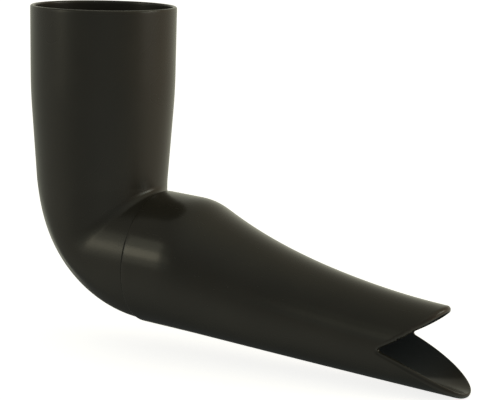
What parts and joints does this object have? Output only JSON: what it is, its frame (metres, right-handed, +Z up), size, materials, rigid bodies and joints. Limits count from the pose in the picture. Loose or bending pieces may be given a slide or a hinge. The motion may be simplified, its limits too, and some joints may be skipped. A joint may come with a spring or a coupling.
{
  "type": "downpipe shoe",
  "caption": "Dark brown plastic downpipe shoe: round socket, elbow that turns the flow sideways, and a tapering collared spout with a fish-mouth outlet that throws rainwater clear of a wall.",
  "frame": {"origin": "centre of the socket's seat, where the cylindrical bore ends and the end of the pipe stops", "axes": "+Z up out of the socket along the pipe, +X the way the spout throws, Y across the plane of symmetry"},
  "size_m": [0.2651, 0.08, 0.1835],
  "materials": {
    "elbow_plastic": "satin, very dark brown, self-coloured",
    "spout_plastic": "satin, very dark brown, self-coloured"
  },
  "bodies": {
    "root": {"elbow": "elbow_plastic", "spout": "spout_plastic"}
  },
  "joints": []
}
